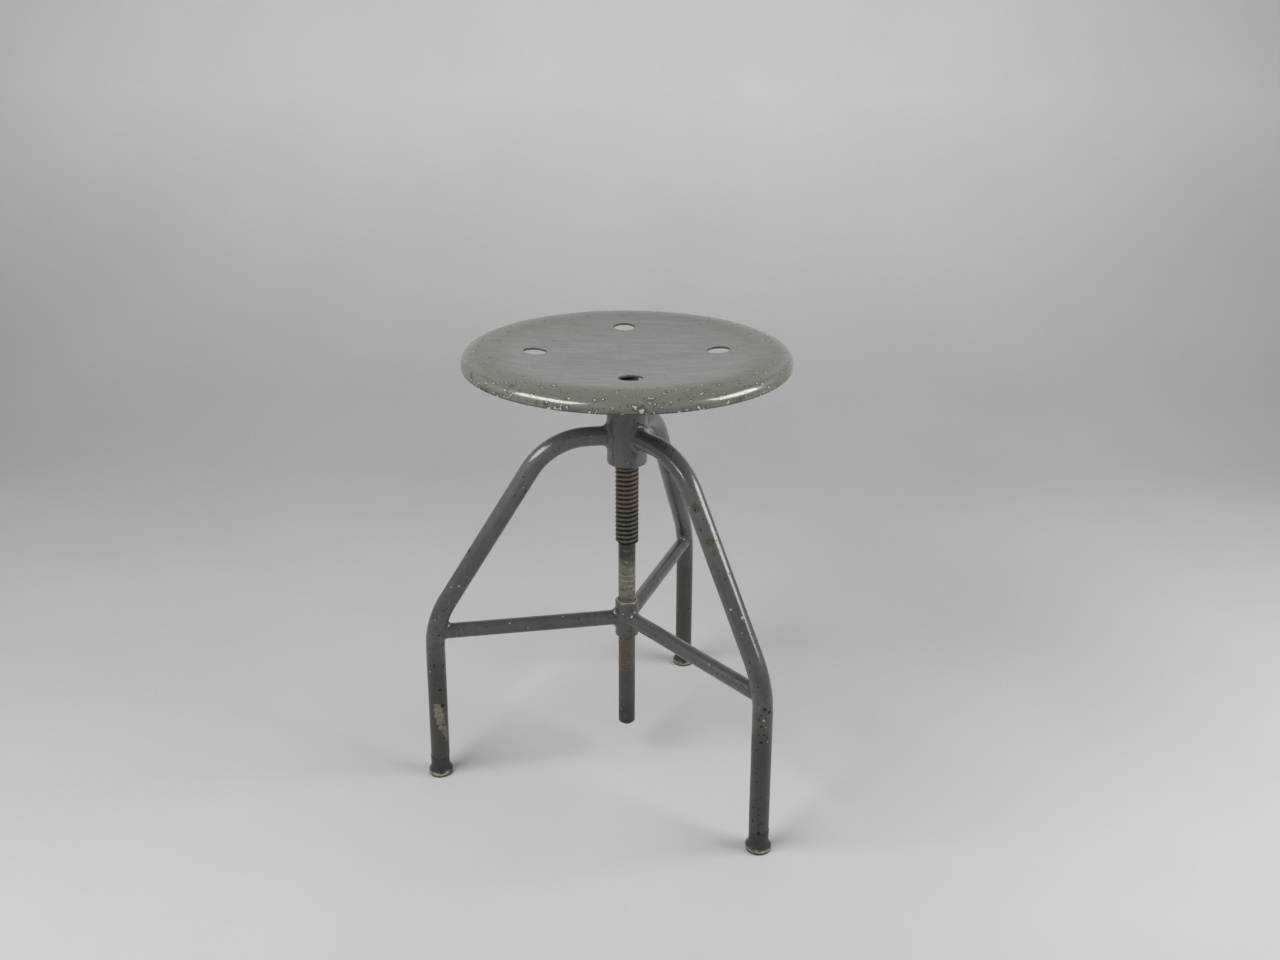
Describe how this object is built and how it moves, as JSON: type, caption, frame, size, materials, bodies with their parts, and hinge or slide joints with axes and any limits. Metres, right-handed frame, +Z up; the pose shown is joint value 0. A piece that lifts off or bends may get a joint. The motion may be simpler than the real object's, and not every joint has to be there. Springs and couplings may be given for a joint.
{
  "type": "machinist stool",
  "caption": "Round dished steel seat that turns up and down on a coarse lifting screw, in a hub on bent tube legs with stretchers and a guide collar.",
  "frame": {"origin": "on the floor under the screw's axis, in the middle of the feet", "axes": "+Z up along the screw, +Y towards the rear leg, +X to the right as seen from the front"},
  "size_m": [0.3858, 0.3828, 0.4756],
  "materials": {
    "frame_paint": "semi-gloss",
    "foot_steel": "worn",
    "seat_enamel": "eggshell",
    "screw_steel": "oiled, rusty",
    "rod_steel": "oiled, partly painted"
  },
  "bodies": {
    "frame": {"hub": "frame_paint", "guide_collar": "frame_paint", "leg_rear": "frame_paint", "foot_rear": "foot_steel", "stretcher_rear": "frame_paint", "hub_braze_rear": "frame_paint", "knee_braze_rear": "frame_paint", "collar_braze_rear": "frame_paint", "leg_left": "frame_paint", "foot_left": "foot_steel", "stretcher_left": "frame_paint", "hub_braze_left": "frame_paint", "knee_braze_left": "frame_paint", "collar_braze_left": "frame_paint", "leg_right": "frame_paint", "foot_right": "foot_steel", "stretcher_right": "frame_paint", "hub_braze_right": "frame_paint", "knee_braze_right": "frame_paint", "collar_braze_right": "frame_paint"},
    "lift": {"guide_rod": "rod_steel"},
    "seat": {"screw": "screw_steel", "seat_plate": "seat_enamel", "screw_weld": "seat_enamel", "pan_weld": "seat_enamel", "seat_pan": "seat_enamel"}
  },
  "joints": [
    {"name": "seat_lift", "type": "slide", "parent": "frame", "child": "lift", "axis": [0, 0, 1], "range_m": [-0.034, 0.09]},
    {"name": "seat_turn", "type": "hinge", "parent": "lift", "child": "seat", "pos_m": [0, 0, 0.4], "axis": [0, 0, 1], "range_deg": [-2448, 6480]}
  ],
  "couplings": [
    {"joint": "seat_lift", "follows": "seat_turn", "m_per_rad": 0.00079577}
  ]
}
